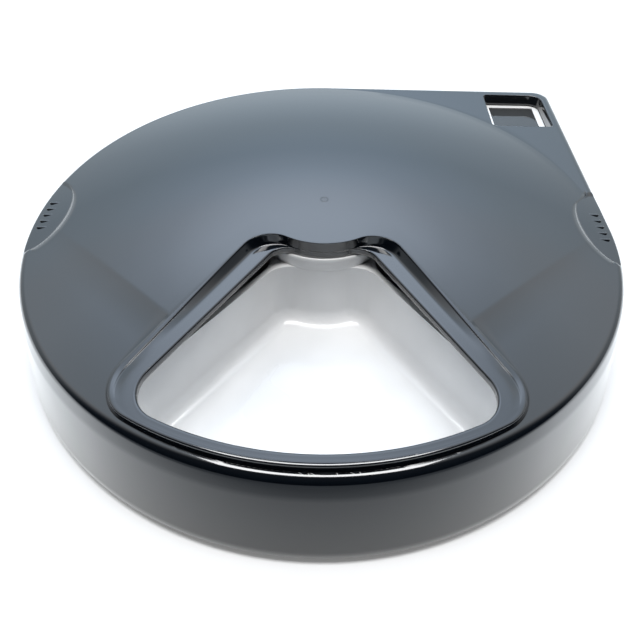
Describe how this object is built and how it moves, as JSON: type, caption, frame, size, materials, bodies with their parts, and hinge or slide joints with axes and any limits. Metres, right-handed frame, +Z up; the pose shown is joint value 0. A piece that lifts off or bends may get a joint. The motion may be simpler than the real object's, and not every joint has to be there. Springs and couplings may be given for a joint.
{
  "type": "automatic pet feeder",
  "caption": "Low automatic pet feeder: a glossy domed lid with one wedge-shaped food opening and a display corner, over a motor-turned tray of bowls.",
  "frame": {"origin": "on the tray's turning axis at floor level", "axes": "+Z up; the food opening faces -Y; the display corner points to +X +Y"},
  "size_m": [0.3088, 0.3088, 0.061],
  "materials": {
    "lid_plastic": "gloss",
    "tray_plastic": "satin",
    "base_plastic": "satin",
    "white_plastic": "satin",
    "clear_plastic": "clear",
    "display_glass": "polished",
    "gel_pack": "satin",
    "rubber": "matt",
    "gear_plastic": "satin",
    "steel": "brushed",
    "plated_steel": "bright",
    "board": "satin",
    "black_plastic": "satin",
    "button_plastic": "satin",
    "cell_jacket": "gloss",
    "red_insulation": "satin",
    "black_insulation": "satin"
  },
  "bodies": {
    "base": {"base_tub": "base_plastic", "duct_cover": "base_plastic", "foot_ring": "rubber", "corner_foot": "rubber", "battery_cells": "cell_jacket", "battery_contacts": "plated_steel", "control_panel": "base_plastic", "display_frame": "white_plastic", "display_lens": "clear_plastic", "display_glass": "display_glass", "display_carrier": "white_plastic", "circuit_board": "board", "panel_screws": "steel", "timer_chip": "black_plastic", "buzzer": "black_plastic", "switch_bodies": "black_plastic", "switch_plungers": "button_plastic", "gear_plate": "base_plastic", "gear_axles": "steel", "gear_case": "base_plastic", "gear_case_screws": "steel", "index_sensor": "black_plastic", "motor_can": "plated_steel", "motor_end_cap": "white_plastic", "motor_screws": "steel", "hub_clip": "steel", "red_motor_lead": "red_insulation", "black_motor_lead": "black_insulation", "sensor_lead": "black_insulation", "battery_leads": "black_insulation"},
    "insert": {"left_cooling_pack": "gel_pack", "right_cooling_pack": "gel_pack", "filler_plugs": "white_plastic"},
    "lid": {"lid_shell": "lid_plastic"},
    "tray": {"five_bowl_tray": "tray_plastic"},
    "hub": {"drive_hub": "gear_plastic"},
    "gear_2": {"second_gear": "gear_plastic"},
    "gear_1": {"first_gear": "gear_plastic"},
    "rotor": {"motor_pinion": "gear_plastic", "motor_shaft": "steel"},
    "door": {"battery_door": "base_plastic"},
    "button_1": {"button_1": "button_plastic"},
    "button_2": {"button_2": "button_plastic"},
    "button_3": {"button_3": "button_plastic"}
  },
  "joints": [
    {"name": "insert_lift", "type": "slide", "parent": "base", "child": "insert", "axis": [0, 0, 1], "range_m": [0, 0.06]},
    {"name": "lid_lift", "type": "slide", "parent": "insert", "child": "lid", "axis": [0, 0, 1], "range_m": [0, 0.08]},
    {"name": "tray_turn", "type": "hinge", "parent": "insert", "child": "tray", "pos_m": [0, 0, 0.011], "axis": [0, 0, 1], "continuous": true},
    {"name": "hub_turn", "type": "hinge", "parent": "base", "child": "hub", "pos_m": [0, 0, 0.036], "axis": [0, 0, 1], "continuous": true},
    {"name": "gear_2_turn", "type": "hinge", "parent": "base", "child": "gear_2", "pos_m": [0.0126, 0, 0.032], "axis": [0, 0, 1], "continuous": true},
    {"name": "gear_1_turn", "type": "hinge", "parent": "base", "child": "gear_1", "pos_m": [0.00829, 0.01184, 0.029], "axis": [0, 0, 1], "continuous": true},
    {"name": "motor_turn", "type": "hinge", "parent": "base", "child": "rotor", "pos_m": [-0.00412, 0.00965, 0.025], "axis": [0, 0, 1], "continuous": true},
    {"name": "battery_door_slide", "type": "slide", "parent": "base", "child": "door", "axis": [1, 0, 0], "range_m": [0, 0.0535]},
    {"name": "button_1_press", "type": "slide", "parent": "base", "child": "button_1", "axis": [0, 0, -1], "range_m": [0, 0.0007], "stiffness_N_per_m": 300, "springref_m": -0.002},
    {"name": "button_2_press", "type": "slide", "parent": "base", "child": "button_2", "axis": [0, 0, -1], "range_m": [0, 0.0007], "stiffness_N_per_m": 300, "springref_m": -0.002},
    {"name": "button_3_press", "type": "slide", "parent": "base", "child": "button_3", "axis": [0, 0, -1], "range_m": [0, 0.0007], "stiffness_N_per_m": 300, "springref_m": -0.002}
  ],
  "couplings": [
    {"joint": "hub_turn", "follows": "tray_turn", "ratio": 1},
    {"joint": "gear_2_turn", "follows": "tray_turn", "ratio": -4},
    {"joint": "gear_1_turn", "follows": "tray_turn", "ratio": 16},
    {"joint": "motor_turn", "follows": "tray_turn", "ratio": -64}
  ]
}
